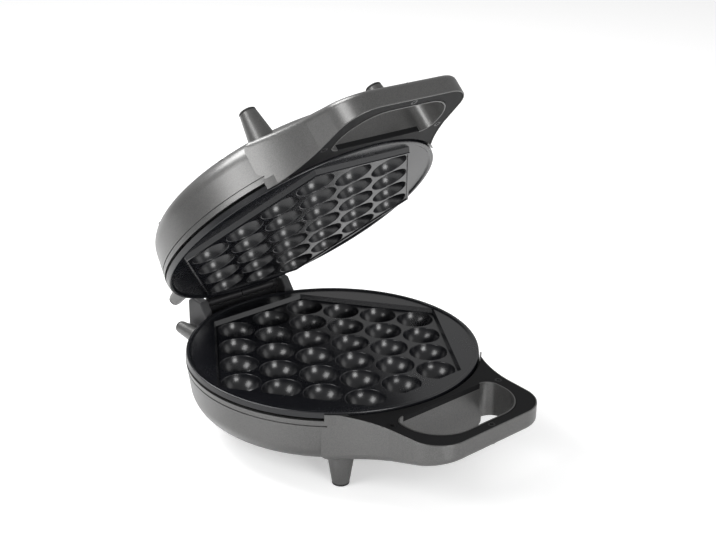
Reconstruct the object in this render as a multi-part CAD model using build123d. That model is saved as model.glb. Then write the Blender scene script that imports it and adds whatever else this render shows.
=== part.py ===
from build123d import *
import os
from math import cos, radians, sin, sqrt, tan

# Bubble waffle maker with a hinged lid, standing on four feet with the lid half open.
# Millimetres, +Z up, X along the hinge, -Y towards the handles.  The origin is on the floor,
# halfway between the end of the lower handle and the back of the open lid.
# Every half is drawn in its own rim frame: z = 0 is the top of the cooking plate's rim, x = y = 0
# its middle, and the body lies below it.  The lid is the mirror image of the base, closed over it
# and then swung open about the hinge.

# Driving dimensions: pose and hinge
rim_height = 61.7            # lower plate rim above the floor
plate_y = 15.0               # middle of the lower plate behind the origin
rim_gap = 3.0                # between the two plate rims when the lid is shut
lid_open = 45.0              # how far the lid is swung open at rest, degrees
hinge_out = 6.3              # hinge axis behind the shell's edge
hinge_z = 3.6                # hinge axis above the lower rim

# Cooking plates
plate_r = 108.4              # plate rim radius at its top edge
skirt_flare = 0.65           # the rim's side band grows by this towards its lower edge
skirt_h = 4.13               # height of the side band
lip_w = 2.4                  # width of the raised lip round the plate
land_drop = 1.2              # flat land below the lip's top
recess_inside = 0.3          # recess kept this far inside the lip
plate_t = 3.0                # thickness of the casting
recess_depth = 3.4           # lower plate: hexagonal recess below the land
plateau_h = 3.3              # upper plate: hexagonal plateau above the land
wall_slope = 25.0            # lean of the recess and plateau sides, degrees
ridge_w = 1.4                # ridge round the plateau, outside the cells
ridge_h = 0.8
plateau_out = 1.0            # plateau wider than the recess's floor, a side
lip_round = 0.8              # rounding of the lip's two top edges
cell_edge = 0.55             # rounding round each cell's opening

# Bubble cells: rows of 3 4 5 6 5 4 3
cell_rows = (3, 4, 5, 6, 5, 4, 3)
row_margin = 6.4             # the widest row's pitches end this far inside the plate's edge
cell_pitch = 2 * (plate_r - row_margin) / max(cell_rows)
row_pitch = 0.7294 * cell_pitch
cell_r = 0.4147 * cell_pitch
cell_depth = cell_r - 1.6
cell_wall = 2.2              # metal round each cell
hex_margin = cell_r + 1.2    # hexagon's side out from the centres of the outer cells

# Shells
shell_gap = 2.3              # dark gap between the plate's side band and the shell's edge
shell_r = plate_r + 0.6      # outside radius at the shell's edge
hinge_y = shell_r + hinge_out
corner_r = shell_r - 5.0     # outside radius where wall and bottom would meet
corner_z = 42.3              # that corner's depth below the rim
shell_depth = 46.0           # bottom of the bowl below the rim
corner_round = 18.0
shell_t = 2.4                # wall thickness
groove_drop = 4.6            # fine line round the wall, below its edge
groove_w = 1.0
groove_d = 0.7

# Handles
handle_top = 1.0             # handle face below the rim
handle_end = shell_r + 56.0  # from the plate's middle to the end of the handle
handle_half = 52.8           # half width at the front corners
handle_round = 24.0          # plan radius of the front corners
handle_side_y = shell_r + 13.5   # where the straight side turns into the flare
handle_side_half = 56.8
flare_mid = (0.5835 * shell_r, 0.9037 * shell_r)   # a point of the flare, and where it runs into the bowl
flare_end = (0.6972 * shell_r, 0.7018 * shell_r)
handle_tip_t = 14.5          # handle depth at its end, below the rim
handle_root_t = 36.0         # handle depth where it meets the bowl
handle_root_y = shell_r - 24.0
handle_edge = 5.0            # rounding under the handle
opening_half = 45.0          # finger opening: half width, near edge and far edge
opening_near = shell_r + 6.0
opening_far = handle_end - 9.5
opening_near_round = 8.0
opening_far_round = 28.0
opening_wall_drop = 4.0      # the opening's straight wall stops this far below the trim
deep_half = 40.0             # half width of the base's deeper part behind the straight wall
deep_z = 34.5
deep_round = 4.0
rim_round = 0.4              # rounding of the handle's upper edge
channel_start = shell_r - 19.0   # the hollow in the handle starts here, in front of the flare's thin end
trim_lip = 0.9               # shell edge left showing round the trim
trim_round = 0.3
trim_t = 2.4
trim_sink = 0.2              # trim face below the shell's edge
trim_fit = 0.2               # clearance round the trim
apron_t = 1.8                # trim's apron over the opening's straight wall
plate_clear = 1.3            # trim and handle stay this far from the plate's band
tab_start = shell_r - 29.0   # the handle's raised wall starts here
tab_w = 1.0
tab_root = 1.5               # how far the raised wall grows into the bowl
tab_bite = 0.1

# Trim screws
screw_d = 3.0
screw_head_d = 5.2
screw_head_t = 1.6
screw_len = 9.0
screw_bite = 0.25            # thread cut by the screw in its hole, a side
screw_slack = 0.1            # looseness round a screw in a through hole
screw_boss_d = 6.4
slot_w = 0.7                 # cross slot in the small screw heads
slot_len = 3.0
slot_deep = 0.7
long_slot_w = 0.9
long_slot_len = 3.8
long_slot_deep = 1.2
trim_screw_side = (51.3, shell_r + 10.3)
trim_screw_front = handle_end - 4.7

# Feet
foot_x = 0.5275 * shell_r
foot_y = 0.6954 * shell_r
foot_top_d = 20.0
foot_tip_d = 12.5
pad_t = 1.9
pad_overlap = 1.2            # spigot of the pad in the foot
pad_spigot_wall = 1.5        # foot wall left round the pad's spigot
foot_stud_clear = 6.0        # shell's stud ends this far above the foot's tip
foot_buried = 6.0            # feet are drawn this far up past the bowl's corner
rear_foot_x = 52.0
rear_foot_z = 14.0           # below the rim
rear_foot_end = hinge_y + 9.2   # tip of the rubber end
rear_foot_top_d = 15.0
rear_foot_tip_d = 10.0

# Collar that carries the plate
collar_t = 2.4
collar_h = 10.4
collar_in_r = shell_r - 18.0
collar_clear = 1.8           # between collar and shell wall
collar_relief = 0.6          # collar kept this far from the plate's pan and cells
pan_clear = 1.0              # plate's pan kept this far inside the shell wall
post_angle = 35.0            # posts and long screws, from the X axis
post_r = shell_r - 13.0
post_d = 10.0
plate_boss_d = 9.0
long_screw_d = 3.5
long_head_d = 6.2
long_head_t = 2.6
long_slack = 0.2             # looseness round a long screw and, twice over, its head
long_short = 0.5             # long screw stops this far below the end of its hole
head_recess = 7.0            # head pocket up from the shell's outside

# Heating
heater_d = 6.5
heater_ring_r = shell_r - 47.0
heater_gap_angle = 26.0
heater_lead = 16.0
heater_lead_thin = 1.2       # leads are thinner than the tube by this, a side
heater_sit = 0.05            # between the element and the cells above it
shield_r = shell_r - 20.0
shield_t = 0.8
shield_lip = 6.0
stud_x = cell_pitch          # studs under the plate that carry the shield
stud_d = 7.0
shield_screw_d = 3.0
shield_screw_len = 6.0
thermostat_d = 18.0
thermostat_t = 8.0
thermostat_tab = (9.0, 5.0, 0.8)
fuse_d = 4.0
fuse_len = 14.0
fuse_lead_d = 1.0
fuse_y = 30.0
terminal = (34.0, 15.0, 9.0)
terminal_y = shell_r - 57.0
lamp_d = 6.0
lamp_x = 9.0
lamp_y = shell_r - 43.0
lamp_stand = 0.8
lamp_inside = 2.0            # lens reaches this far inside the shell
lamp_flange = 1.5            # flange wider than the lens, a side, and its thickness

# Hinge
pin_d = 4.0
pin_fit = 0.05               # running clearance round the pin
barrel_d = 6.8
barrel_half = 31.5           # lid barrels reach this far each way
barrel_gap = 0.8             # between the two barrels
knuckle_w = 4.2
hinge_side_gap = 0.4
leaf_t = 2.0
leaf_depth = 15.0
leaf_clear = 0.7
barrel_clear = 0.25          # between the lid's barrels and the base leaf below them
block_half = 33.0
hinge_screw_x = 18.0
hinge_screw_drop = 12.5
cheek_w = 7.7
# Side view of a cheek: how far behind the hinge axis, and how high above the rim
cheek_side = ((-15.3, -16.0), (-15.3, -1.0), (-7.3, 9.6), (2.7, 10.6), (8.7, 7.0), (8.7, -14.0))
cheek_round = 1.2
cheek_clear = 0.4
cheek_screw_drop = 12.0      # below the rim
cheek_screw_seat = 3.0       # head this far in front of the hinge axis
cheek_screw_len = 15.5

# Cord gland
gland_drop = 31.0            # below the rim
gland_d = 13.0
gland_bore_d = 7.0
gland_flange_d = 17.0
gland_flange_t = 2.0
gland_out = shell_r + 4.0

# Worked out from the dimensions above
shell_edge = skirt_h + shell_gap
land_z = -land_drop
floor_z = land_z - recess_depth
cell_sphere = (cell_r**2 + cell_depth**2) / (2 * cell_depth)
plate_low_r = plate_r + skirt_flare
keep_r = plate_low_r + plate_clear
plate_bottom = land_z - plate_t
collar_top = min(-skirt_h, plate_bottom)
collar_low = collar_top - collar_h
lower_cells_z = floor_z - cell_depth - cell_wall
foot_len = rim_height - pad_t
wall_lean = (shell_r - corner_r) / (corner_z - shell_edge)
under_slope = (handle_root_t - handle_tip_t) / (handle_end - handle_root_y)
BIG = 4 * handle_end
UP = (Align.CENTER, Align.CENTER, Align.MIN)
BACKWARD = Rot(-90, 0, 0)


def bowl_profile(inset, top):
    """Half section of the bowl, from its middle to the wall, inset all round."""
    wall_top = shell_r - inset + (top + shell_edge) * wall_lean
    corner = (corner_r - inset, -corner_z + inset)
    bottom = (0, -shell_depth + inset)
    outline = make_face(Polyline((0, top), (wall_top, top), corner, bottom, close=True))
    vertex = outline.vertices().sort_by_distance((corner[0], corner[1], 0))[0]
    return Plane.XZ * fillet(vertex, corner_round - inset)


def bowl(inset, top):
    """Solid of revolution inside the bowl's outer face."""
    return revolve(bowl_profile(inset, top), Axis.Z)


def handle_outline(inset):
    """Plan of the handle, run well into the bowl."""
    front, side = (handle_half, -handle_end), (handle_side_half, -handle_side_y)
    mid, end = (flare_mid[0], -flare_mid[1]), (flare_end[0], -flare_end[1])
    first, last = (0, -handle_end), (0, end[1])
    edge = [Line(first, front), Line(front, side), ThreePointArc(side, mid, end)]
    half = make_face(edge + [Line(end, last), Line(last, first)])
    whole = half + mirror(half, Plane.YZ)
    corners = whole.vertices().group_by(Axis.Y)[0].filter_by(lambda v: abs(v.X) > handle_half / 2)
    whole = fillet(corners, handle_round)
    return offset(whole, -inset, kind=Kind.INTERSECTION) if inset else whole


def opening_outline(grow):
    """Plan of the finger opening: straight towards the plate, rounded towards the bar."""
    depth = opening_far - opening_near
    shape = Pos(0, -(opening_near + opening_far) / 2) * Rectangle(2 * opening_half, depth)
    shape = fillet(shape.vertices().group_by(Axis.Y)[-1], opening_near_round)
    shape = fillet(shape.vertices().group_by(Axis.Y)[0], opening_far_round)
    return offset(shape, grow) if grow else shape


def handle_under(y):
    """Height of the handle's sloping underside at a place along it."""
    return -handle_tip_t - under_slope * (y + handle_end)


def handle_block(inset, top):
    """Handle before it is hollowed: plan outline cut by the sloping underside."""
    far, near = -handle_end - handle_edge, -flare_end[1] + handle_edge
    low_far, low_near = (far, handle_under(far) + inset), (near, handle_under(near) + inset)
    side = make_face(Polyline((far, top), (near, top), low_near, low_far, close=True))
    wedge = extrude(Plane.YZ * side, BIG / 2, both=True)
    deep = Pos(0, 0, top) * extrude(handle_outline(inset), -BIG)
    block = deep & wedge
    slanted = block.faces().sort_by(Axis.Z)[0]
    outer = [e for e in slanted.edges() if e.center().Y < near - 1]
    block = fillet(outer, max(handle_edge - inset, 1.0))
    rim = block.edges().group_by(Axis.Z)[-1].filter_by(lambda e: e.center().Y < near - 1)
    return block if inset else fillet(rim, rim_round)


def deep_block(inset, top):
    """Deeper part of the handle between the opening's straight wall and the bowl."""
    depth = opening_near - corner_r / 2
    block = Box(2 * (deep_half - inset), depth, deep_z + top - inset)
    sides = block.edges().filter_by(Axis.Y).group_by(Axis.Z)[0]
    block = fillet(sides, deep_round - inset / 2)
    return Pos(0, -opening_near + depth / 2, (top - deep_z + inset) / 2) * block


def prism(sketch, top, bottom):
    """Upright prism on a plan outline."""
    return Pos(0, 0, bottom) * extrude(sketch, top - bottom)


def rod(d, z_low, z_high, x=0.0, y=0.0):
    """Upright cylinder between two heights."""
    return Pos(x, y, z_low) * Cylinder(d / 2, z_high - z_low, align=UP)


def peg(d, length, x, y, z):
    """Cylinder pointing back along +Y from a place."""
    return Pos(x, y, z) * BACKWARD * Cylinder(d / 2, length, align=UP)


def cross_slot(length, width, depth):
    """Cross slot of a screw head, centred on its face."""
    return Box(length, width, 2 * depth) + Box(width, length, 2 * depth)


def gathered(shapes):
    """One shape of separate solids."""
    return Compound(children=[solid for shape in shapes for solid in shape.solids()])


def cell_centres():
    """Centres of the bubble cells, row by row."""
    middle = (len(cell_rows) - 1) / 2
    return [((i - (n - 1) / 2) * cell_pitch, (row - middle) * row_pitch)
            for row, n in enumerate(cell_rows) for i in range(n)]


def hexagon(grow):
    """Hexagon round the cells, its sides parallel to the rows."""
    y = (len(cell_rows) - 1) / 2 * row_pitch
    x, side = (cell_rows[0] - 1) / 2 * cell_pitch, (max(cell_rows) - 1) / 2 * cell_pitch
    corners = [(side, 0), (x, y), (-x, y), (-side, 0), (-x, -y), (x, -y)]
    return offset(make_face(Polyline(*corners, close=True)), hex_margin + grow, kind=Kind.INTERSECTION)


def post_places():
    """Where the four long screws hold plate, collar and shell together."""
    a = radians(post_angle)
    return [(sx * post_r * cos(a), sy * post_r * sin(a)) for sx in (-1, 1) for sy in (-1, 1)]


def trim_screw_places():
    """Where the trim is screwed down: one in the bar and one beside each end of the opening."""
    x, y = trim_screw_side
    return [(-x, -y), (x, -y), (0, -trim_screw_front)]


def sphere_cells(radius):
    """One sphere per cell, all of one size."""
    z = floor_z - cell_depth + cell_sphere
    return [Pos(x, y, z) * Sphere(radius) for x, y in cell_centres()]


def round_cells(metal, level):
    """Round the edge of every cell that opens at a height."""
    rims = metal.edges().filter_by(GeomType.CIRCLE).filter_by(lambda e: abs(e.arc_center.Z - level) < 0.01)
    return fillet(rims.filter_by(lambda e: abs(e.radius - cell_r) < 0.01), cell_edge)


def plate_disc():
    """Plate blank: lip, land and side band, with its screw bosses underneath."""
    band = [(plate_r, 0), (plate_low_r, -skirt_h), (plate_low_r - plate_t, -skirt_h)]
    section = [(0, land_z), (plate_r - lip_w - land_drop, land_z), (plate_r - lip_w, 0)] + band
    section += [(plate_low_r - plate_t, plate_bottom), (0, plate_bottom)]
    outline = make_face(Polyline(*section, close=True))
    tops = outline.vertices().group_by(Axis.Y)[-1]
    disc = revolve(Plane.XZ * fillet(tops, lip_round), Axis.Z)
    low = collar_low + collar_t
    bosses = [rod(plate_boss_d, low, land_z - plate_t / 2, x, y) for x, y in post_places()]
    return disc + bosses


def tapped_holes(depth_top):
    """Threaded holes up into the plate's bosses."""
    return [rod(long_screw_d, collar_low - 1, depth_top, x, y) for x, y in post_places()]


def lower_plate():
    """Lower cooking plate: sloping hexagonal recess with the cells sunk in its floor."""
    below = rod(BIG, -BIG, floor_z)
    pan = prism(hexagon(plate_t), land_z - plate_t / 2, floor_z - plate_t)
    pan = pan & rod(2 * (shell_r - shell_t - pan_clear), -BIG, 0)
    metal = plate_disc() + pan + [s & below for s in sphere_cells(cell_sphere + cell_wall)]
    metal = metal + shield_studs(lower_cells_z, floor_z - plate_t / 2)
    recess = Pos(0, 0, floor_z) * extrude(hexagon(0), recess_depth + 0.01, taper=-wall_slope)
    recess = recess & rod(2 * (plate_r - lip_w - land_drop - recess_inside), -BIG, 0)
    metal = round_cells(metal - recess - sphere_cells(cell_sphere), floor_z)
    return metal - tapped_holes(land_z - plate_t / 2)


def upper_plate():
    """Upper cooking plate: hexagonal plateau edged by a ridge, with the cells opening in its face."""
    lift = plateau_h + recess_depth
    shift = Pos(0, 0, lift)
    top = floor_z + lift
    below = rod(BIG, -BIG, top)
    spread = plateau_h * tan(radians(wall_slope))
    ridge = prism(hexagon(plateau_out), top + ridge_h, top - 1)
    ridge = ridge - prism(hexagon(plateau_out - ridge_w), BIG, top)
    wide = hexagon(plateau_out + spread)
    plateau = Pos(0, 0, land_z - 0.01) * extrude(wide, plateau_h + 0.01, taper=wall_slope)
    metal = plate_disc() + plateau + shield_studs(lower_cells_z + lift, land_z - plate_t / 2)
    metal = metal + ridge + [(shift * s) & below for s in sphere_cells(cell_sphere + cell_wall)]
    metal = round_cells(metal - [shift * s for s in sphere_cells(cell_sphere)], top)
    return metal - tapped_holes(land_z - plate_t / 2)


def bowl_radius(depth):
    """Outside radius of the bowl at a depth below the rim."""
    cut = bowl(0, -shell_edge) & Pos(0, 0, -depth) * Box(BIG, BIG, 0.02)
    return cut.bounding_box().max.X


def bowl_bottom(x, y, inset=0.0):
    """Height of the bowl's bottom face under a point, by a thin probe."""
    probe = bowl(inset, -shell_edge) & rod(0.4, -BIG, -shell_edge, x, y)
    return probe.bounding_box().min.Z


def ring(r_in, r_out, top, bottom):
    """Upright ring between two heights."""
    return rod(2 * r_out, bottom, top) - rod(2 * r_in, bottom - 1, top + 1)


def handle_wall_tab():
    """Raised wall that starts the handle beside the plate: the step seen on each side."""
    reach = handle_side_y - tab_start
    r_out = keep_r + tab_bite
    low = -shell_edge - tab_root
    wall = ring(r_out - tab_w, r_out, -handle_top, low) + ring(shell_r - tab_root, r_out, -shell_edge, low)
    zone = Pos(0, -tab_start - reach / 2, 0) * Box(BIG, reach, BIG)
    return (wall & zone) - Box(2 * flare_mid[0], BIG, BIG)


def shell(deep=False):
    """Outer casing of one half: bowl and hollow handle with a finger opening."""
    top = -handle_top
    outer = bowl(0, -shell_edge) + handle_block(0, top)
    inside = handle_block(shell_t, top + 1)
    if deep:
        outer = outer + deep_block(0, top)
        inside = inside + deep_block(shell_t, top)
    hollow = bowl(shell_t, -shell_edge + 1) & rod(BIG, -BIG, -shell_edge + 1)
    channel = inside - rod(2 * shell_r, -BIG, BIG) - prism(opening_outline(shell_t), BIG, -BIG)
    channel = channel - Pos(0, BIG / 2 - channel_start, 0) * Box(2 * BIG, BIG, BIG)
    body = outer - hollow - channel
    body = body - rod(2 * keep_r, -shell_edge, BIG)
    rebate = offset(handle_outline(0), -trim_lip, kind=Kind.INTERSECTION) - opening_outline(trim_lip)
    body = body - prism(rebate, BIG, top - trim_sink - trim_t)
    straight = opening_half - opening_near_round
    wall = Pos(0, -opening_near + shell_t, top) * Box(2 * straight, 3 * shell_t, 2 * opening_wall_drop)
    body = body - wall - prism(opening_outline(0), BIG, -BIG)
    body = body + handle_wall_tab() + hinge_block() + shell_posts() + foot_spigots()
    for x, y in trim_screw_places():
        floor = handle_under(y) + shell_t / 2
        body = body + rod(screw_boss_d, floor, top - trim_sink - trim_t, x, y)
        body = body - rod(screw_d - 2 * screw_bite, top - screw_len, top, x, y)
    return body - groove() - post_bores() - screw_ways(hinge_screw_x, -hinge_screw_drop, screw_len)


def groove():
    """Fine line round the bowl's wall, below its edge, clear of the handle."""
    z = -shell_edge - groove_drop
    r = shell_r - groove_drop * wall_lean
    band = ring(r - groove_d, r + 1, z + groove_w, z)
    front = Pos(0, -tab_start - BIG / 2, 0) * Box(BIG, BIG, BIG)
    back = Pos(0, BIG / 2 + hinge_y - shell_r / 2, 0) * Box(2 * block_half, BIG, BIG)
    return band - front - back


def hinge_face():
    """Rear face of the block that carries the hinge leaf."""
    return hinge_y - leaf_t


def hinge_block():
    """Flat-backed block on the rear wall for the hinge leaf."""
    depth = shell_r / 2
    top, bottom = -shell_edge - leaf_clear, -shell_edge - leaf_depth
    block = Box(2 * block_half, depth, top - bottom)
    return Pos(0, hinge_face() - depth / 2, (top + bottom) / 2) * block - bowl(shell_t / 2, 0)


def screw_ways(x, z, reach):
    """A pair of holes from the back for the screws of a leaf or of the cheeks."""
    d = screw_d - 2 * screw_bite
    return [peg(d, 2 * reach, side * x, hinge_face() - reach, z) for side in (-1, 1)]


def shell_posts():
    """Hollow posts that stand on the bowl's bottom and carry the collar."""
    inside = bowl(shell_t / 2, 0)
    return [rod(post_d, -BIG, collar_low, x, y) & inside for x, y in post_places()]


def head_floor(x, y):
    """Height where a long screw's head sits, up from the shell's outside."""
    return bowl_bottom(x, y) + head_recess


def post_bores():
    """Way for each long screw and the pocket for its head."""
    cuts = []
    for x, y in post_places():
        cuts.append(rod(long_head_d + 4 * long_slack, -BIG, head_floor(x, y), x, y))
        cuts.append(rod(long_screw_d + 2 * long_slack, -BIG, BIG, x, y))
    return cuts


def foot_places():
    """The four feet of one half."""
    return [(sx * foot_x, sy * foot_y) for sx in (-1, 1) for sy in (-1, 1)]


def foot_spigots():
    """Short studs inside the feet that hold them to the shell."""
    low = -foot_len + foot_stud_clear
    return [rod(foot_tip_d / 2, low, bowl_bottom(x, y) + shell_t / 2, x, y) for x, y in foot_places()]


def foot_cone(x, y, tip, tip_d, top, top_d):
    """Tapered post from its tip up to a height."""
    return Pos(x, y, tip) * Cone(tip_d / 2, top_d / 2, top - tip, align=UP)


def feet():
    """Tapered feet, hollow over the shell's studs."""
    made = []
    body = bowl(0, -shell_edge) + handle_block(0, -handle_top)
    for x, y in foot_places():
        cone = foot_cone(x, y, -foot_len, foot_tip_d, -corner_z + foot_buried, foot_top_d)
        cone = cone - body - rod(foot_tip_d / 2, -foot_len + foot_stud_clear, BIG, x, y)
        made.append(cone - rod(foot_tip_d - 2 * pad_spigot_wall, -BIG, -foot_len + pad_overlap, x, y))
    return gathered(made)


def foot_pads():
    """Rubber ends under the feet."""
    made = []
    for x, y in foot_places():
        disc = rod(foot_tip_d, -rim_height, -foot_len, x, y)
        disc = fillet(disc.edges().sort_by(Axis.Z)[0], pad_t / 2)
        spigot_d = foot_tip_d - 2 * pad_spigot_wall
        made.append(disc + rod(spigot_d, -foot_len - 0.01, -foot_len + pad_overlap, x, y))
    return gathered(made)


def rear_posts(from_y, to_y, tip_d, root_d):
    """A pair of posts pointing back, for standing the shut appliance on its end."""
    cone = BACKWARD * Cone(root_d / 2, tip_d / 2, to_y - from_y, align=UP)
    return [Pos(side * rear_foot_x, from_y, -rear_foot_z) * cone for side in (-1, 1)]


def rear_feet():
    """Storage feet on the rear wall."""
    root = sqrt(shell_r**2 - rear_foot_x**2) - shell_t
    outside = bowl(0, -shell_edge)
    posts = rear_posts(root, rear_foot_end - pad_t, rear_foot_tip_d, rear_foot_top_d)
    made = [post - outside for post in posts]
    return Compound(children=[max(post.solids(), key=lambda s: s.center().Y) for post in made])


def rear_pads():
    """Rubber ends of the storage feet."""
    return gathered(rear_posts(rear_foot_end - pad_t, rear_foot_end, rear_foot_tip_d - 1, rear_foot_tip_d))


def shield_top(under):
    """Height of the shield's upper face, for cells whose metal ends at a height."""
    return under - heater_d - 2 * heater_sit


def shield_studs(under, top):
    """Studs under a plate, tapped for the shield's screws."""
    low = shield_top(under)
    hole_d = shield_screw_d - 2 * screw_bite + screw_slack
    hole_top = low + shield_screw_len
    return [rod(stud_d, low, top, x, 0) - rod(hole_d, low - 1, hole_top, x, 0) for x in (-stud_x, stud_x)]


def collar():
    """Heat-resistant ring between plate and shell."""
    wall_r = shell_r - shell_t - collar_clear
    low_r = bowl_radius(-collar_low) - shell_t - collar_clear
    outside = [(collar_in_r, collar_low), (low_r, collar_low), (wall_r, collar_top)]
    floor = collar_low + collar_t
    inside = [(wall_r - collar_t, collar_top), (low_r - collar_t, floor), (collar_in_r, floor)]
    turned = revolve(Plane.XZ * make_face(Polyline(*outside, *inside, close=True)), Axis.Z)
    pan = prism(hexagon(plate_t + collar_relief), BIG, floor_z - plate_t - collar_relief)
    cells = sphere_cells(cell_sphere + cell_wall + collar_relief)
    ways = [rod(long_screw_d + 2 * long_slack, -BIG, BIG, x, y) for x, y in post_places()]
    return turned - pan - cells - ways


def long_screws():
    """Screws that pull shell, collar and plate together."""
    made = []
    for x, y in post_places():
        seat = head_floor(x, y)
        shank = rod(long_screw_d - screw_slack, seat - 0.01, land_z - plate_t / 2 - long_short, x, y)
        head = rod(long_head_d, seat - long_head_t, seat, x, y)
        slot = Pos(x, y, seat - long_head_t) * cross_slot(long_slot_len, long_slot_w, long_slot_deep)
        made.append(head + shank - slot)
    return gathered(made)


def screw_cone(x, y, top, grow=0.0):
    """Countersunk head of a trim screw."""
    cone = Cone(screw_d / 2 + grow, screw_head_d / 2 + grow, screw_head_t, align=UP)
    return Pos(x, y, top - screw_head_t) * cone


def handle_trim():
    """Flat cover that closes the handle from above, with countersunk screw holes."""
    top = -handle_top - trim_sink
    inset = trim_lip + trim_fit
    straight = opening_half - opening_near_round - trim_fit
    keep = rod(2 * (keep_r + trim_fit), -BIG, BIG)
    edge = prism(handle_outline(inset), top, top - trim_t) - prism(opening_outline(inset), BIG, -BIG)
    bridge = Pos(0, -opening_near + inset / 2 + 0.5, top) * Box(2 * straight, inset + 1, 2 * trim_t)
    apron_h = opening_wall_drop - trim_sink - trim_t
    apron = Box(2 * straight, apron_t, apron_h)
    apron = Pos(0, -opening_near + apron_t / 2, top - trim_t - apron_h / 2) * apron
    bridge = bridge & prism(Rectangle(BIG, BIG), top, top - trim_t)
    cover = edge + bridge + apron - keep - prism(opening_outline(0), BIG, -BIG)
    cover = chamfer(cover.edges().group_by(Axis.Z)[-1], trim_round)
    for x, y in trim_screw_places():
        cover = cover - screw_cone(x, y, top, screw_slack) - rod(screw_d + 2 * screw_slack, -BIG, top, x, y)
    return max(cover.solids(), key=lambda s: s.volume)


def trim_screws():
    """Countersunk screws of the handle's cover."""
    top = -handle_top - trim_sink
    made = []
    for x, y in trim_screw_places():
        shank_d = screw_d - 2 * screw_bite - screw_slack
        shank = rod(shank_d, top - screw_len + 2 * screw_slack + trim_sink, top - screw_head_t, x, y)
        slot = Pos(x, y, top) * cross_slot(slot_len, slot_w, slot_deep)
        made.append(screw_cone(x, y, top) + shank - slot)
    return gathered(made)


def heater(under):
    """Tubular heating element: an open ring with two leads, pressed under the cells."""
    z = under - heater_d / 2 - heater_sit
    half = heater_gap_angle / 2
    arc = CenterArc((0, 0, z), heater_ring_r, 90 + half, 360 - 2 * half)
    tube = sweep(Plane(arc @ 0, z_dir=arc % 0) * Circle(heater_d / 2), arc)
    a = radians(90 + half)
    ends = []
    for side in (-1, 1):
        x, y = side * heater_ring_r * cos(a), heater_ring_r * sin(a)
        ends.append(Pos(x, y, z) * Sphere(heater_d / 2))
        ends.append(peg(heater_d - 2 * heater_lead_thin, heater_lead, x, y, z))
    return tube + ends


def heat_shield(under):
    """Shallow pan under the element that throws the heat back to the plate."""
    top = shield_top(under)
    pan = rod(2 * shield_r, top - shield_t, top + shield_lip)
    pan = pan - rod(2 * (shield_r - shield_t), top, top + shield_lip + 1)
    return pan - [rod(shield_screw_d + 2 * screw_slack, -BIG, BIG, x, 0) for x in (-stud_x, stud_x)]


def shield_screws(under):
    """Two screws that hold the shield to the plate's studs."""
    seat = shield_top(under) - shield_t
    made = []
    for x in (-stud_x, stud_x):
        head = rod(screw_head_d, seat - screw_head_t, seat, x, 0)
        shank = rod(shield_screw_d - 2 * screw_bite, seat - 0.01, seat + shield_screw_len, x, 0)
        made.append(head + shank - Pos(x, 0, seat - screw_head_t) * cross_slot(slot_len, slot_w, slot_deep))
    return gathered(made)


def thermostat(under):
    """Disc thermostat with its two tabs, under the middle of the shield."""
    top = shield_top(under) - shield_t
    body = rod(thermostat_d, top - thermostat_t, top)
    r, middle = thermostat_d / 2, top - thermostat_t / 2
    return body + [Pos(x, 0, middle) * Box(*thermostat_tab) for x in (-r, r)]


def thermal_fuse(under):
    """One-shot fuse clipped under the shield."""
    top = shield_top(under) - shield_t
    body = Cylinder(fuse_d / 2, fuse_len) + Cylinder(fuse_lead_d / 2, 2 * fuse_len)
    return Pos(0, fuse_y, top - fuse_d / 2) * Rot(0, 90, 0) * body


def terminal_block():
    """Terminal block on the bowl's floor."""
    w, d, h = terminal
    base = bowl_bottom(0, terminal_y, shell_t)
    block = Pos(0, terminal_y, base + h / 2) * Box(w, d, h + 2) & bowl(shell_t, -shell_edge)
    wells = [Pos(i * w / 3, terminal_y, base + h) * Cylinder(w / 10, h) for i in (-1, 0, 1)]
    return block - wells


def lamps():
    """Two round lamp lenses in the outer face, near the handle."""
    made = []
    for x in (-lamp_x, lamp_x):
        low = bowl_bottom(x, -lamp_y) - lamp_stand
        inner = low + lamp_stand + shell_t
        lens = rod(lamp_d, low, inner + lamp_inside, x, -lamp_y)
        lens = fillet(lens.edges().sort_by(Axis.Z)[0], lamp_stand / 2)
        flange = rod(lamp_d + 2 * lamp_flange, low, inner + lamp_flange, x, -lamp_y)
        made.append(lens + (flange & bowl(shell_t, -shell_edge)))
    return made


def lamp_holes():
    """Holes in the shell for the lamps."""
    return [rod(lamp_d + 2 * screw_slack, -BIG, collar_low, x, -lamp_y) for x in (-lamp_x, lamp_x)]


def along_x(d, x_low, x_high):
    """Cylinder on the hinge axis, in the lower rim's frame."""
    length = x_high - x_low
    return Pos((x_low + x_high) / 2, hinge_y, hinge_z) * Rot(0, 90, 0) * Cylinder(d / 2, length)


def knuckle_places():
    """Where the base's outer knuckles stand along the hinge."""
    inner = barrel_half + hinge_side_gap
    return [(-inner - knuckle_w, -inner), (inner, inner + knuckle_w)]


def hinge_bracket():
    """Base leaf of the hinge with its two outer knuckles."""
    inner, outer = knuckle_places()[1]
    top = hinge_z - barrel_d / 2 - barrel_clear
    low = -shell_edge - leaf_depth
    leaf = Pos(0, hinge_y - leaf_t / 2, (top + low) / 2) * Box(2 * outer, leaf_t, top - low)
    for x_low, x_high in knuckle_places():
        arm = Box(knuckle_w, leaf_t, hinge_z - low)
        leaf = leaf + Pos((x_low + x_high) / 2, hinge_y - leaf_t / 2, (hinge_z + low) / 2) * arm
        leaf = leaf + along_x(barrel_d, x_low, x_high)
    return leaf - along_x(pin_d, -BIG / 2, BIG / 2) - leaf_screw_holes(-hinge_screw_drop)


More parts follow.
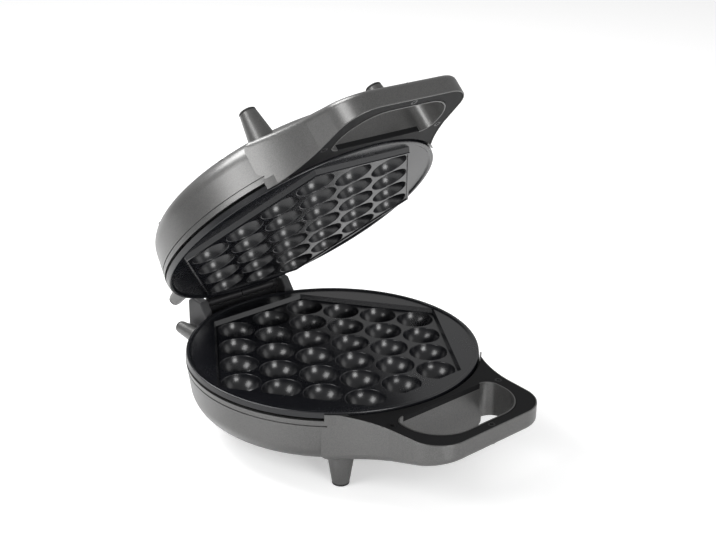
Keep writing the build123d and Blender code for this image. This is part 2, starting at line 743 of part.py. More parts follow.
def lid_leaf():
    """Lid leaf of the hinge with the two barrels that turn on the pin."""
    high = rim_gap + shell_edge + leaf_depth
    leaf = Box(2 * barrel_half, leaf_t, high - hinge_z)
    leaf = Pos(0, hinge_y - leaf_t / 2, (hinge_z + high) / 2) * leaf
    for x_low, x_high in ((-barrel_half, -barrel_gap / 2), (barrel_gap / 2, barrel_half)):
        leaf = leaf + along_x(barrel_d, x_low, x_high)
    leaf = leaf - along_x(pin_d + 2 * pin_fit, -BIG / 2, BIG / 2)
    notch = Pos(0, hinge_y, hinge_z) * Box(barrel_gap, 2 * barrel_d, barrel_d + leaf_t)
    return leaf - notch - leaf_screw_holes(rim_gap + hinge_screw_drop)


def leaf_screw_holes(z):
    """Holes through a leaf for its screws."""
    d = screw_d + 2 * screw_slack
    return [peg(d, 4 * leaf_t, x, hinge_y - 2 * leaf_t, z) for x in (-hinge_screw_x, hinge_screw_x)]


def rear_screws(x, y, z, length):
    """A pair of pan head screws driven in from the back, their heads seated at y."""
    made = []
    for side in (-1, 1):
        shank = rod(screw_d - 2 * screw_bite - screw_slack, -length, 0)
        screw = rod(screw_head_d, 0, screw_head_t) + shank
        screw = screw - Pos(0, 0, screw_head_t) * cross_slot(slot_len, slot_w, slot_deep)
        made.append(Pos(side * x, y, z) * BACKWARD * screw)
    return gathered(made)


def leaf_screws(z):
    """Screws that hold a leaf to its block."""
    return rear_screws(hinge_screw_x, hinge_y, z, screw_len)


def cheek_middle():
    """Middle of a cheek along the hinge."""
    return knuckle_places()[1][1] + cheek_clear + cheek_w / 2


def cheek_screws():
    """Screws through the cheeks into the rear wall."""
    return rear_screws(cheek_middle(), hinge_y - cheek_screw_seat, -cheek_screw_drop, cheek_screw_len)


def pin_half():
    """The pin ends in the middle of each cheek."""
    return knuckle_places()[1][1] + cheek_w / 2


def hinge_pin():
    """Pin through knuckles, barrels and cheeks."""
    return along_x(pin_d - 0.02, -pin_half(), pin_half())


def hinge_cheeks():
    """Rounded cheeks at both ends of the hinge, standing on the base's rear wall."""
    made = []
    for side in (-1, 1):
        x = side * cheek_middle()
        corners = [(hinge_y + y, z) for y, z in cheek_side]
        side_face = Plane.YZ * make_face(Polyline(*corners, close=True))
        cheek = Pos(x - cheek_w / 2, 0, 0) * extrude(side_face, cheek_w)
        cheek = fillet(cheek.edges().filter_by(Axis.X, reverse=True), cheek_round)
        cheek = cheek - bowl(0, -shell_edge) - rod(2 * (plate_low_r + cheek_clear), -shell_edge, BIG)
        seat = hinge_y - cheek_screw_seat
        head_d, shank_d = screw_head_d + 2 * cheek_clear, screw_d + 2 * screw_slack
        cheek = cheek - peg(head_d, cheek_screw_len, x, seat, -cheek_screw_drop)
        cheek = cheek - peg(shank_d, cheek_screw_len, x, seat - cheek_screw_len, -cheek_screw_drop)
        cheek = cheek - along_x(pin_d + 2 * pin_fit, -pin_half() - 1, pin_half() + 1)
        made.append(max(cheek.solids(), key=lambda s: s.volume))
    return Compound(children=made)


def cord_gland():
    """Bush in the rear wall where the supply cord comes out."""
    inner = bowl_radius(gland_drop) - shell_t
    length = gland_out - inner + 1
    bush = peg(gland_d, length, 0, inner - 1, -gland_drop)
    flange = peg(gland_flange_d, gland_flange_t, 0, gland_out, -gland_drop)
    return bush + flange - peg(gland_bore_d, BIG / 4, 0, inner - 2, -gland_drop)


def gland_hole():
    """Hole in the base shell for the gland."""
    return peg(gland_d + 2 * screw_slack, BIG / 4, 0, shell_r - 2 * gland_d, -gland_drop)


def base_shell():
    """Lower casing, with the ways for the cheek screws and the cord gland."""
    ways = screw_ways(cheek_middle(), -cheek_screw_drop, 2 * cheek_screw_len)
    return shell(deep=True) - ways - gland_hole()


def in_base(shape):
    """Lift a shape from the lower rim's frame to the floor's."""
    return Pos(0, plate_y, rim_height) * shape


def in_lid(shape):
    """Swing a shape, given in the lower rim's frame with the lid shut, open with the lid."""
    hinge = Axis((0, plate_y + hinge_y, rim_height + hinge_z), (1, 0, 0))
    return in_base(shape).rotate(hinge, -lid_open)


def mirrored(shape):
    """Turn a lower half's shape over to the shut lid."""
    return Pos(0, 0, rim_gap) * mirror(shape, Plane.XY)


def base_parts():
    """Every piece of the lower body, in the lower rim's frame."""
    under = lower_cells_z
    return {
        "base_shell": base_shell(),
        "base_collar": collar(),
        "base_plate": lower_plate(),
        "base_plate_screws": long_screws(),
        "base_handle_trim": handle_trim(),
        "base_handle_screws": trim_screws(),
        "base_feet": feet(),
        "base_foot_pads": foot_pads(),
        "base_rear_feet": rear_feet(),
        "base_rear_pads": rear_pads(),
        "base_heater": heater(under),
        "base_heat_shield": heat_shield(under),
        "base_shield_screws": shield_screws(under),
        "thermostat": thermostat(under),
        "thermal_fuse": thermal_fuse(under),
        "terminal_block": terminal_block(),
        "cord_gland": cord_gland(),
        "hinge_bracket": hinge_bracket(),
        "hinge_bracket_screws": leaf_screws(-hinge_screw_drop),
        "hinge_cheeks": hinge_cheeks(),
        "hinge_cheek_screws": cheek_screws(),
        "hinge_pin": hinge_pin(),
    }


def lid_parts():
    """Every piece of the lid, in the lower rim's frame with the lid shut."""
    under = lower_cells_z + plateau_h + recess_depth
    power, ready = lamps()
    halves = {
        "lid_shell": shell() - lamp_holes(),
        "lid_collar": collar(),
        "lid_plate": upper_plate(),
        "lid_plate_screws": long_screws(),
        "lid_handle_trim": handle_trim(),
        "lid_handle_screws": trim_screws(),
        "lid_feet": feet(),
        "lid_foot_pads": foot_pads(),
        "lid_rear_feet": rear_feet(),
        "lid_rear_pads": rear_pads(),
        "lid_heater": heater(under),
        "lid_heat_shield": heat_shield(under),
        "lid_shield_screws": shield_screws(under),
        "power_lamp": power,
        "ready_lamp": ready,
    }
    parts = {name: mirrored(shape) for name, shape in halves.items()}
    parts["lid_leaf"] = lid_leaf()
    parts["lid_leaf_screws"] = leaf_screws(rim_gap + hinge_screw_drop)
    return parts


os.makedirs("parts", exist_ok=True)
for part_name, part_shape in base_parts().items():
    export_step(in_base(part_shape), f"parts/{part_name}.step")
for part_name, part_shape in lid_parts().items():
    export_step(in_lid(part_shape), f"parts/{part_name}.step")
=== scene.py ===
"""Looks of a bubble waffle maker: two round halves on a rear hinge, cell plates and looped handles.

Lengths are in metres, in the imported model's own frame: the origin is on the floor, +Z is up and
the handles point towards -Y.  At rest the lid stands half open.
"""

import logging
import math
from abc import ABC, abstractmethod
from dataclasses import dataclass
from enum import Enum
from typing import Mapping, Sequence, Union

import bmesh
import bpy
from mathutils import Matrix, Vector


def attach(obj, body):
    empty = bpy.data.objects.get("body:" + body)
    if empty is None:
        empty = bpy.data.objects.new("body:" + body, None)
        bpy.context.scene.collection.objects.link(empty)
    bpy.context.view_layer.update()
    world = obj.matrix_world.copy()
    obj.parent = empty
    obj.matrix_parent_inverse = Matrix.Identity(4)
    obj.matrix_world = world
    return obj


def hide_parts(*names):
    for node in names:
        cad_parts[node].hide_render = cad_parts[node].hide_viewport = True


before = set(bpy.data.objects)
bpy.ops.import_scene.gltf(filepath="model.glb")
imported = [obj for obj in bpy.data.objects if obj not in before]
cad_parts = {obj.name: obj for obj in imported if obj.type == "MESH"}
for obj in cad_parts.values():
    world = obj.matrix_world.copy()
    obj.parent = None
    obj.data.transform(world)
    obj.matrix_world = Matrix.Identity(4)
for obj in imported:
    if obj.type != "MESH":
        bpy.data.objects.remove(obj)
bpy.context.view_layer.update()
log = logging.getLogger("waffle_maker")

Colour = tuple[float, float, float]
Point = tuple[float, float, float]
Settings = Mapping[str, object]

WHITE: Colour = (1.0, 1.0, 1.0)
CREASE = math.radians(35.0)
MERGE = 1e-7
SENSOR_WIDTH = 36.0


class Body(Enum):
    """The two rigid bodies that a piece can ride on."""

    BASE = "base"
    LID = "lid"


class Slot(Enum):
    """Names of two of the record's material slots; no piece here takes its finish from them."""

    RUBBER = "pad_rubber"
    BRIGHT = "bright_steel"


class Field:
    """A shader value that joins its node tree's Math nodes through Python's own operators."""

    def __init__(self, graph: "Graph", socket: bpy.types.NodeSocket) -> None:
        """Wrap a socket.

        Args:
            graph: the node tree that the socket belongs to.
            socket: an output socket that carries a number.
        """
        self.graph = graph
        self.socket = socket

    def _math(self, operation: str, first: "Value", second: "Value") -> "Field":
        """Join two values with one Math node.

        Args:
            operation: the Math node's operation.
            first: its first value.
            second: its second value.

        Returns:
            The node's result.
        """
        made = self.graph.node("ShaderNodeMath", {"operation": operation}, {0: first, 1: second})
        return Field(self.graph, made.outputs[0])

    def __add__(self, other: "Value") -> "Field":
        """Sum."""
        return self._math("ADD", self, other)

    def __radd__(self, other: "Value") -> "Field":
        """Sum with a number on the left."""
        return self._math("ADD", other, self)

    def __mul__(self, other: "Value") -> "Field":
        """Product."""
        return self._math("MULTIPLY", self, other)

    def __rmul__(self, other: "Value") -> "Field":
        """Product with a number on the left."""
        return self._math("MULTIPLY", other, self)


Value = Union[Field, bpy.types.NodeSocket, float, Sequence[float]]


class Graph:
    """The node tree of one material, ending in a Principled shader."""

    def __init__(self, name: str) -> None:
        """Start a material.

        Args:
            name: the material's name.
        """
        self.material = bpy.data.materials.new(name)
        self.material.use_nodes = True
        self.tree = self.material.node_tree
        self.tree.nodes.clear()
        self.shader = self.node("ShaderNodeBsdfPrincipled")
        self.node("ShaderNodeOutputMaterial", {}, {"Surface": self.shader.outputs[0]})

    def node(
        self,
        kind: str,
        settings: Settings | None = None,
        values: Mapping[int | str, Value] | None = None,
    ) -> bpy.types.Node:
        """Add one node.

        Args:
            kind: the node's type.
            settings: its properties, set first.
            values: numbers, colours or links of its sockets, by name or place.

        Returns:
            The node.
        """
        made = self.tree.nodes.new(kind)
        for key, value in (settings or {}).items():
            setattr(made, key, value)
        self.feed(made, values or {})
        return made

    def feed(self, node: bpy.types.Node, values: Mapping[int | str, Value]) -> None:
        """Set or link a node's sockets.

        Args:
            node: the node.
            values: numbers, colours or links of its sockets, by name or place.
        """
        for key, value in values.items():
            socket = node.inputs[key]
            if isinstance(value, Field):
                self.tree.links.new(value.socket, socket)
            elif isinstance(value, bpy.types.NodeSocket):
                self.tree.links.new(value, socket)
            else:
                socket.default_value = value

    def place(self) -> bpy.types.NodeSocket:
        """Object coordinates, in metres."""
        return self.node("ShaderNodeTexCoord").outputs["Object"]

    def noise(self, scale: float, detail: float = 2.0, rough: float = 0.5) -> Field:
        """Fractal noise over the object.

        Args:
            scale: cells a metre.
            detail: octaves.
            rough: how much the finer octaves weigh.

        Returns:
            The noise, from 0 to 1.
        """
        values = {"Vector": self.place(), "Scale": scale, "Detail": detail, "Roughness": rough}
        return Field(self, self.node("ShaderNodeTexNoise", {}, values).outputs[0])

    def specks(self, scale: float) -> Field:
        """Random grey of small cells.

        Args:
            scale: cells a metre.

        Returns:
            One grey a cell, from 0 to 1.
        """
        made = self.node("ShaderNodeTexVoronoi", {}, {"Vector": self.place(), "Scale": scale})
        split = self.node("ShaderNodeSeparateColor", {}, {0: made.outputs["Color"]})
        return Field(self, split.outputs[0])

    def blend(self, mask: Value, first: Colour, second: Colour) -> bpy.types.NodeSocket:
        """Mix two colours.

        Args:
            mask: 0 gives the first and 1 the second.
            first: a linear colour.
            second: a linear colour.

        Returns:
            The mixed colour.
        """
        settings = {"data_type": "RGBA", "clamp_factor": True}
        values = {0: mask, 6: (*first, 1.0), 7: (*second, 1.0)}
        return self.node("ShaderNodeMix", settings, values).outputs[2]

    def relief(self, height: Value, depth: float, strength: float = 1.0) -> bpy.types.NodeSocket:
        """Turn a height into a bumped normal.

        Args:
            height: the height, from 0 to 1.
            depth: what a height of 1 stands up, in metres.
            strength: how much of it shows.

        Returns:
            The normal.
        """
        values = {"Height": height, "Distance": depth, "Strength": strength}
        return self.node("ShaderNodeBump", {}, values).outputs[0]

    def finish(self, values: Mapping[str, Value]) -> bpy.types.Material:
        """Set the shader's sockets.

        Args:
            values: numbers, colours or links by the shader's socket names.

        Returns:
            The finished material.
        """
        self.feed(self.shader, values)
        return self.material


@dataclass(frozen=True)
class Finish(ABC):
    """A surface finish that can be put on any piece."""

    name: str

    @abstractmethod
    def paint(self, graph: Graph) -> bpy.types.Material:
        """Fill a node tree with this finish."""

    def material(self) -> bpy.types.Material:
        """This finish's material, made at its first use."""
        return bpy.data.materials.get(self.name) or self.paint(Graph(self.name))


@dataclass(frozen=True)
class MetallicPaint(Finish):
    """Sprayed metallic paint: fine flakes under a thin clear layer."""

    light: Colour
    dark: Colour
    roughness: float = 0.36
    metal: float = 0.75
    flake_scale: float = 2600.0
    cloud_scale: float = 14.0
    peel_scale: float = 420.0
    peel_depth: float = 0.00004

    def paint(self, graph: Graph) -> bpy.types.Material:
        """Flakes vary the colour a little, and the clear layer has a faint orange peel."""
        flakes = graph.specks(self.flake_scale)
        cloud = graph.noise(self.cloud_scale, 3.0)
        colour = graph.blend(flakes * 0.7 + cloud * 0.3, self.dark, self.light)
        peel = graph.noise(self.peel_scale, 2.0)
        return graph.finish(
            {
                "Base Color": colour,
                "Metallic": self.metal,
                "Roughness": flakes * 0.06 + cloud * 0.05 + (self.roughness - 0.05),
                "Coat Weight": 0.25,
                "Coat Roughness": 0.22,
                "Normal": graph.relief(peel * 0.6 + flakes * 0.4, self.peel_depth, 0.35),
            }
        )


@dataclass(frozen=True)
class NonStick(Finish):
    """Sprayed non-stick coating on a casting: nearly black, with a soft gloss."""

    light: Colour = (0.0080, 0.0085, 0.0110)
    dark: Colour = (0.0035, 0.0037, 0.0050)
    roughness: float = 0.24
    gloss: float = 0.65
    grain_scale: float = 1500.0
    patch_scale: float = 22.0
    depth: float = 0.00003

    def paint(self, graph: Graph) -> bpy.types.Material:
        """Fine spray texture, with patches that are a little duller."""
        grain = graph.noise(self.grain_scale, 2.0)
        patch = graph.noise(self.patch_scale, 3.0)
        return graph.finish(
            {
                "Base Color": graph.blend(grain * 0.4 + patch * 0.6, self.dark, self.light),
                "Roughness": patch * 0.10 + grain * 0.05 + (self.roughness - 0.06),
                "Specular IOR Level": self.gloss,
                "Normal": graph.relief(grain, self.depth, 0.3),
            }
        )


@dataclass(frozen=True)
class Moulding(Finish):
    """Injection-moulded plastic with a fine sparked texture."""

    light: Colour
    dark: Colour
    roughness: float = 0.42
    grain: float = 1100.0
    worn_scale: float = 18.0
    depth: float = 0.00005
    gloss: float = 0.5

    def paint(self, graph: Graph) -> bpy.types.Material:
        """The texture is even, and handling leaves it slightly polished in places."""
        spark = graph.noise(self.grain, 3.0, 0.65)
        worn = graph.noise(self.worn_scale, 2.0)
        return graph.finish(
            {
                "Base Color": graph.blend(spark * 0.5 + worn * 0.5, self.dark, self.light),
                "Roughness": worn * 0.10 + spark * 0.08 + (self.roughness - 0.08),
                "Specular IOR Level": self.gloss,
                "Normal": graph.relief(spark, self.depth, 0.5),
            }
        )


@dataclass(frozen=True)
class Metalwork(Finish):
    """Plain metal: plated, blackened or bare, with fine marks of its making."""

    light: Colour
    dark: Colour
    roughness: float = 0.32
    metal: float = 1.0
    stretch: Point = (1.0, 1.0, 1.0)
    mark_scale: float = 900.0
    stain_scale: float = 60.0
    depth: float = 0.00002

    def paint(self, graph: Graph) -> bpy.types.Material:
        """Marks run along the axis with the smallest stretch."""
        values = {"Vector": graph.place(), "Scale": self.stretch}
        mapped = graph.node("ShaderNodeMapping", {}, values)
        values = {"Vector": mapped.outputs[0], "Scale": self.mark_scale, "Detail": 3.0}
        marks = Field(graph, graph.node("ShaderNodeTexNoise", {}, values).outputs[0])
        stain = graph.noise(self.stain_scale, 3.0)
        return graph.finish(
            {
                "Base Color": graph.blend(marks * 0.5 + stain * 0.5, self.dark, self.light),
                "Metallic": self.metal,
                "Roughness": marks * 0.10 + stain * 0.10 + (self.roughness - 0.10),
                "Normal": graph.relief(marks, self.depth, 0.4),
            }
        )


@dataclass(frozen=True)
class LampLens(Finish):
    """Tinted clear lens of a lamp."""

    tint: Colour
    prism_scale: float = 900.0
    prism_depth: float = 0.0001
    shade: float = 0.45
    clear: float = 0.35

    def paint(self, graph: Graph) -> bpy.types.Material:
        """Tinted through, with a moulded prism pattern just visible."""
        prisms = graph.specks(self.prism_scale)
        shade = tuple(self.shade * part for part in self.tint)
        return graph.finish(
            {
                "Base Color": graph.blend(prisms, shade, self.tint),
                "Roughness": prisms * 0.05 + 0.08,
                "Transmission Weight": self.clear,
                "Normal": graph.relief(prisms, self.prism_depth, 0.3),
            }
        )


PEWTER = MetallicPaint("pewter_paint", light=(0.158, 0.157, 0.155), dark=(0.100, 0.0995, 0.098))
NON_STICK = NonStick("non_stick_coating")
TRIM = Moulding(
    "trim_plastic", light=(0.010, 0.010, 0.0105), dark=(0.005, 0.005, 0.0055), roughness=0.5, gloss=0.1
)
PHENOLIC = Moulding(
    "heat_resistant_plastic", light=(0.02, 0.02, 0.02), dark=(0.012, 0.012, 0.012), roughness=0.5
)
CHEEK = Moulding(
    "cheek_plastic", light=(0.050, 0.050, 0.052), dark=(0.034, 0.034, 0.036), roughness=0.42, gloss=0.35
)
RUBBER = Moulding(
    "pad_rubber", light=(0.026, 0.026, 0.026), dark=(0.014, 0.014, 0.014), roughness=0.75
)
BLACK_STEEL = Metalwork("blackened_steel", light=(0.045, 0.045, 0.047), dark=(0.02, 0.02, 0.021))
BRIGHT_STEEL = Metalwork(
    "plated_steel", light=(0.62, 0.62, 0.63), dark=(0.45, 0.45, 0.46), roughness=0.28
)
HINGE_STEEL = Metalwork(
    "hinge_paint", light=(0.028, 0.028, 0.030), dark=(0.014, 0.014, 0.015), roughness=0.36, metal=0.2
)
BARE_SHEET = Metalwork(
    "bare_aluminium", light=(0.78, 0.78, 0.79), dark=(0.6, 0.6, 0.61), stretch=(1.0, 0.05, 1.0)
)
HEATER_STEEL = Metalwork(
    "heater_sheath", light=(0.34, 0.31, 0.27), dark=(0.16, 0.14, 0.12), roughness=0.45
)
CERAMIC = Moulding(
    "white_ceramic", light=(0.80, 0.79, 0.74), dark=(0.70, 0.69, 0.64), roughness=0.25, grain=300.0
)
RED_LENS = LampLens("red_lens", tint=(0.65, 0.03, 0.02))
GREEN_LENS = LampLens("green_lens", tint=(0.03, 0.50, 0.08))


def dress(finish: Finish, *nodes: str) -> None:
    """Give CAD nodes a finish, and leave their shapes alone.

    Args:
        finish: what the nodes are made of.
        nodes: the nodes' names.
    """
    for name in nodes:
        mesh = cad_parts[name].data
        mesh.materials.clear()
        mesh.materials.append(finish.material())
        log.info("%s keeps its shape and gets %s", name, finish.name)


@dataclass(frozen=True)
class Stance:
    """Where the two halves stand: the lid is the base's mirror image, swung open on the pin.

    A half's rim frame has its origin in the middle of the rim, with +Z away from its feet.
    """

    rim_height: float = 0.0617
    plate_back: float = 0.015
    rim_gap: float = 0.003
    pin_back: float = 0.1153
    pin_up: float = 0.0036
    opened: float = 45.0

    def matrix(self, body: Body) -> Matrix:
        """From a half's own rim frame to the model's.

        Args:
            body: which half.

        Returns:
            The matrix; the lid's mirrors.
        """
        lift = Matrix.Translation((0.0, self.plate_back, self.rim_height))
        if body is Body.BASE:
            return lift
        pin = lift @ Matrix.Translation((0.0, self.pin_back, self.pin_up))
        swing = pin @ Matrix.Rotation(math.radians(-self.opened), 4, "X") @ pin.inverted()
        flip = Matrix.Scale(-1.0, 4, (0.0, 0.0, 1.0))
        return swing @ lift @ Matrix.Translation((0.0, 0.0, self.rim_gap)) @ flip


STANCE = Stance()


def turned(
    outline: Sequence[tuple[float, float]], place: Matrix, ring: bool = False, steps: int = 48
) -> bmesh.types.BMesh:
    """Spin an outline once round +Z.

    Args:
        outline: radius and height of each corner.
        place: moves the finished shape.
        ring: whether the outline closes on itself, clear of the axis, instead of ending on it.
        steps: facets round the axis.

    Returns:
        The closed shape with its normals outwards.
    """
    shape = bmesh.new()
    verts = [shape.verts.new((radius, 0.0, height)) for radius, height in outline]
    ends = verts[1:] + verts[:1] if ring else verts[1:]
    edges = [shape.edges.new(pair) for pair in zip(verts, ends)]
    bmesh.ops.spin(
        shape,
        geom=verts + edges,
        axis=(0, 0, 1),
        cent=(0, 0, 0),
        angle=2 * math.pi,
        steps=steps,
        use_merge=True,
    )
    bmesh.ops.remove_doubles(shape, verts=shape.verts[:], dist=MERGE)
    bmesh.ops.transform(shape, matrix=place, verts=shape.verts[:])
    bmesh.ops.recalc_face_normals(shape, faces=shape.faces[:])
    return shape


def piece(
    name: str, shapes: Sequence[bmesh.types.BMesh], finish: Finish, body: Body
) -> bpy.types.Object:
    """Make one visible piece of one or more closed shapes.

    Args:
        name: the piece's name.
        shapes: closed shapes, already in place.
        finish: what it is made of.
        body: the body it rides on.

    Returns:
        The piece.
    """
    mesh = bpy.data.meshes.new(name)
    whole = bmesh.new()
    for shape in shapes:
        part = bpy.data.meshes.new("part")
        shape.to_mesh(part)
        shape.free()
        whole.from_mesh(part)
        bpy.data.meshes.remove(part)
    for face in whole.faces:
        face.smooth = True
    for edge in whole.edges:
        edge.smooth = edge.calc_face_angle(0.0) < CREASE
    whole.to_mesh(mesh)
    whole.free()
    mesh.materials.append(finish.material())
    made = bpy.data.objects.new(name, mesh)
    bpy.context.scene.collection.objects.link(made)
    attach(made, body.value)
    log.info("%s is modelled here with %d faces", name, len(mesh.polygons))
    return made


@dataclass
class Pads:
    """Rubber ends of one half's feet: a dished sole, a softened rim and a fine step below the foot."""

    body: Body
    feet: tuple[float, float] = (0.0575, 0.0758)
    radius: float = 0.0062
    thick: float = 0.0019
    soften: float = 0.00095
    step: float = 0.00022
    step_share: float = 0.6
    corner_parts: int = 6
    dish: float = 0.0005
    dish_radius: float = 0.0036

    def outline(self) -> list[tuple[float, float]]:
        """Half section of a pad, from its sole's middle round to its top's middle."""
        r, s = self.radius, self.soften
        angles = [math.pi / 2 * i / self.corner_parts for i in range(self.corner_parts + 1)]
        corner = [(r - s + s * math.sin(a), s - s * math.cos(a)) for a in angles]
        sole = [(0.0, self.dish), (self.dish_radius - self.dish, self.dish), (self.dish_radius, 0.0)]
        low, neck = self.step_share * self.thick, r - self.step
        wall = [(r, low), (neck, low + self.step), (neck, self.thick), (0.0, self.thick)]
        return sole + corner + wall

    def build(self) -> None:
        """Model the four pads in place of the CAD's plain discs."""
        shapes = []
        for side in (-1, 1):
            for way in (-1, 1):
                spot = (side * self.feet[0], way * self.feet[1], -STANCE.rim_height)
                place = STANCE.matrix(self.body) @ Matrix.Translation(spot)
                shapes.append(turned(self.outline(), place))
        half = self.body.value
        made = piece(f"{half}_soft_pads", shapes, RUBBER, self.body)
        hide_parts(f"{half}_foot_pads")


@dataclass
class Casing:
    """Painted casing of one half, with its feet."""

    body: Body

    def build(self) -> None:
        """Dress the casing, the feet and the rear pads, and model the pads under the feet."""
        half = self.body.value
        dress(PEWTER, f"{half}_shell", f"{half}_feet", f"{half}_rear_feet")
        dress(RUBBER, f"{half}_rear_pads")
        Pads(self.body).build()


@dataclass
class Handle:
    """Looped handle of one half: its cover and the cover's screws."""

    body: Body

    def build(self) -> None:
        """Dress the cover and its screws."""
        half = self.body.value
        dress(TRIM, f"{half}_handle_trim")
        dress(BLACK_STEEL, f"{half}_handle_screws")


@dataclass
class Cooker:
    """Cooking plate of one half with what heats and holds it."""

    body: Body

    def build(self) -> None:
        """Dress the plate, collar, element, shield and their screws."""
        half = self.body.value
        dress(NON_STICK, f"{half}_plate")
        dress(PHENOLIC, f"{half}_collar")
        dress(HEATER_STEEL, f"{half}_heater")
        dress(BARE_SHEET, f"{half}_heat_shield")
        dress(BRIGHT_STEEL, f"{half}_plate_screws", f"{half}_shield_screws")


@dataclass
class Hinge:
    """Rear hinge with its cheeks, pin and screws."""

    def build(self) -> None:
        """Dress the two leaves, the cheeks, the pin and the screws."""
        dress(HINGE_STEEL, "hinge_bracket", "lid_leaf")
        dress(CHEEK, "hinge_cheeks")
        dress(BRIGHT_STEEL, "hinge_pin")
        dress(BLACK_STEEL, "hinge_bracket_screws", "lid_leaf_screws", "hinge_cheek_screws")


@dataclass
class Bezels:
    """Plated rings that frame the two lamps on the lid."""

    across: float = 0.009
    back: float = -0.066
    level: float = -0.04363
    inner: float = 0.00315
    outer: float = 0.0043
    proud: float = 0.0006
    buried: float = 0.0004
    soften: float = 0.00025

    def outline(self) -> list[tuple[float, float]]:
        """Closed half section of a ring, its face downwards in the rim's frame."""
        face, seat, s = -self.proud, self.buried, self.soften
        inside = [(self.inner, seat), (self.inner, face + s), (self.inner + s, face)]
        outside = [(self.outer - s, face), (self.outer, face + s), (self.outer, seat)]
        return inside + outside

    def build(self) -> None:
        """Model both rings; they ride with the lid."""
        shapes = []
        for side in (-1, 1):
            spot = Matrix.Translation((side * self.across, self.back, self.level))
            shapes.append(turned(self.outline(), STANCE.matrix(Body.LID) @ spot, ring=True))
        piece("lamp_bezels", shapes, BRIGHT_STEEL, Body.LID)


@dataclass
class Electrics:
    """Thermostat, fuse, terminal block, cord gland and lamps with their bezels."""

    def build(self) -> None:
        """Dress each electrical piece and frame the lamps."""
        Bezels().build()
        dress(CERAMIC, "thermostat", "thermal_fuse", "terminal_block")
        dress(TRIM, "cord_gland")
        dress(RED_LENS, "power_lamp")
        dress(GREEN_LENS, "ready_lamp")


@dataclass(frozen=True)
class Lamp:
    """One soft square lamp: its name, place, side and power in watts."""

    name: str
    place: Point
    size: float
    power: float

    def hang(self, target: Vector) -> None:
        """Hang the lamp, facing a point.

        Args:
            target: the point.
        """
        data = bpy.data.lights.new(self.name, "AREA")
        data.size = self.size
        data.energy = self.power
        lamp = bpy.data.objects.new(self.name, data)
        bpy.context.scene.collection.objects.link(lamp)
        turn = (Vector(self.place) - target).to_track_quat("Z", "Y").to_matrix().to_4x4()
        lamp.matrix_world = Matrix.Translation(self.place) @ turn


LAMPS = (
    Lamp("key", (-1.2, 0.1, 0.95), 0.7, 9.0),
    Lamp("fill", (1.1, -0.9, 0.7), 0.9, 2.5),
    Lamp("rear", (-0.3, 1.1, 1.4), 0.9, 26.0),
    Lamp("front", (-0.22, -1.15, 0.36), 0.46, 6.0),
)


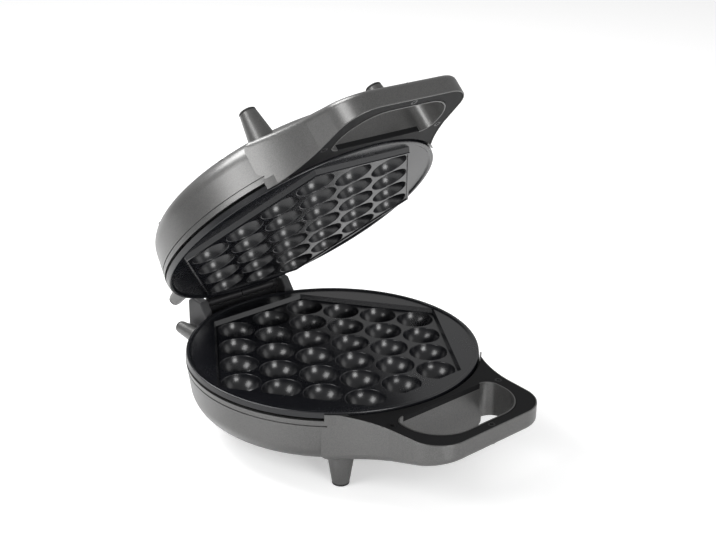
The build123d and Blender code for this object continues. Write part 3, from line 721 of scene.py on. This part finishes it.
@dataclass
class Studio:
    """Pale floor, soft lamps and the camera, whose place and angles were fitted to the photo."""

    target: Point = (0.02426, 0.015, 0.11434)
    azimuth: float = -41.94
    elevation: float = 21.72
    roll: float = 0.72
    distance: float = 0.92761
    focal: float = 62.895
    floor_half: float = 8.0
    floor_grey: float = 0.86
    floor_roughness: float = 0.28
    floor_gloss: float = 0.35
    floor_glow: float = 0.42
    mirrored_glow: float = 0.25
    sky_dim: float = 0.42
    sky_full: float = 1.0

    def floor(self) -> None:
        """Lay the floor, white to the camera, with the object's shadow on it."""
        mesh = bpy.data.meshes.new("floor")
        shape = bmesh.new()
        bmesh.ops.create_grid(shape, x_segments=1, y_segments=1, size=self.floor_half)
        shape.to_mesh(mesh)
        shape.free()
        plane = bpy.data.objects.new("floor", mesh)
        bpy.context.scene.collection.objects.link(plane)
        graph = Graph("floor_white")
        rays = graph.node("ShaderNodeLightPath")
        direct = Field(graph, rays.outputs["Is Camera Ray"])
        mirrored = Field(graph, rays.outputs["Is Glossy Ray"])
        graph.finish(
            {
                "Base Color": (self.floor_grey, self.floor_grey, self.floor_grey, 1.0),
                "Roughness": self.floor_roughness,
                "Specular IOR Level": self.floor_gloss,
                "Emission Color": (*WHITE, 1.0),
                "Emission Strength": (direct + mirrored * self.mirrored_glow) * self.floor_glow,
            }
        )
        mesh.materials.append(graph.material)

    def sky(self) -> None:
        """Surround the scene with even white, at full strength only to the camera and through lenses."""
        world = bpy.data.worlds.new("studio")
        bpy.context.scene.world = world
        world.use_nodes = True
        tree = world.node_tree
        tree.nodes.clear()
        rays = tree.nodes.new("ShaderNodeLightPath")
        shown = tree.nodes.new("ShaderNodeMath")
        shown.operation = "MAXIMUM"
        tree.links.new(rays.outputs["Is Camera Ray"], shown.inputs[0])
        tree.links.new(rays.outputs["Is Transmission Ray"], shown.inputs[1])
        power = tree.nodes.new("ShaderNodeMapRange")
        power.inputs["To Min"].default_value = self.sky_dim
        power.inputs["To Max"].default_value = self.sky_full
        tree.links.new(shown.outputs[0], power.inputs[0])
        glow = tree.nodes.new("ShaderNodeBackground")
        glow.inputs[0].default_value = (*WHITE, 1.0)
        tree.links.new(power.outputs[0], glow.inputs[1])
        output = tree.nodes.new("ShaderNodeOutputWorld")
        tree.links.new(glow.outputs[0], output.inputs[0])

    def camera(self) -> None:
        """Set the camera at the measured viewing angle."""
        a, e, r = (math.radians(v) for v in (self.azimuth, self.elevation, self.roll))
        back = Vector((math.sin(a) * math.cos(e), -math.cos(a) * math.cos(e), math.sin(e)))
        right = Vector((math.cos(a), math.sin(a), 0.0))
        up = back.cross(right)
        rolled = right * math.cos(r) + up * math.sin(r)
        raised = up * math.cos(r) - right * math.sin(r)
        data = bpy.data.cameras.new("camera")
        data.sensor_width = SENSOR_WIDTH
        data.lens = self.focal
        camera = bpy.data.objects.new("camera", data)
        bpy.context.scene.collection.objects.link(camera)
        place = Vector(self.target) + back * self.distance
        columns = Matrix((rolled, raised, back)).transposed()
        camera.matrix_world = Matrix.Translation(place) @ columns.to_4x4()
        bpy.context.scene.camera = camera

    def build(self) -> None:
        """Set up the whole studio."""
        self.floor()
        self.sky()
        for lamp in LAMPS:
            lamp.hang(Vector(self.target))
        self.camera()
        bpy.context.scene.view_settings.view_transform = "Standard"


def main() -> None:
    """Build and dress every sub-assembly in order."""
    logging.basicConfig(level=logging.INFO, format="%(name)s: %(message)s")
    for body in Body:
        Casing(body).build()
        Handle(body).build()
        Cooker(body).build()
    Hinge().build()
    Electrics().build()
    Studio().build()


if __name__ == "__main__":
    main()
